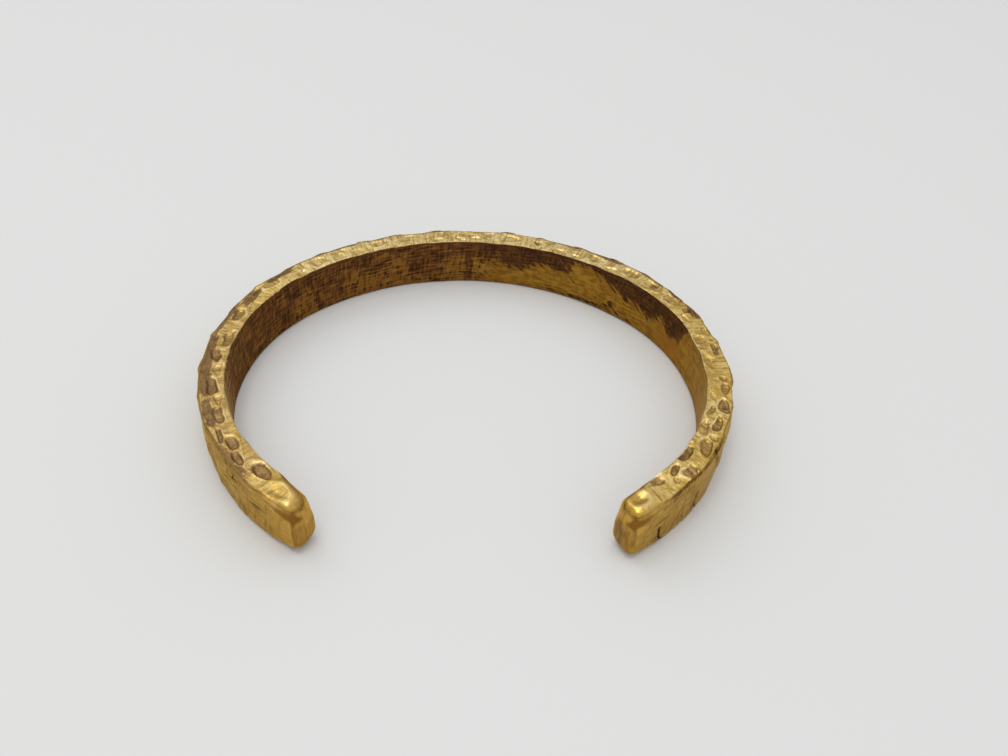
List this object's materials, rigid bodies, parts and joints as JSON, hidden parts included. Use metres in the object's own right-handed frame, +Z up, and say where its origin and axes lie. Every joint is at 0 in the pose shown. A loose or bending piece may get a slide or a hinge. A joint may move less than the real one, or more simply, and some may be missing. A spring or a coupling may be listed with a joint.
{
  "type": "cuff bracelet",
  "caption": "Open C-shaped forged brass cuff bracelet with hammered edges, plain inner face and blunt rounded ends.",
  "frame": {"origin": "under the middle of the oval, on the plane that the lower edge lies on", "axes": "+Z up through the wrist opening, +X across the width of the wrist, the gap between the ends faces -Y"},
  "size_m": [0.0652, 0.053, 0.0072],
  "materials": {
    "brass": "hammered and hand-filed brass, polished on the high spots, brown patina in the hollows"
  },
  "bodies": {
    "root": {"cuff": "brass"}
  },
  "joints": []
}
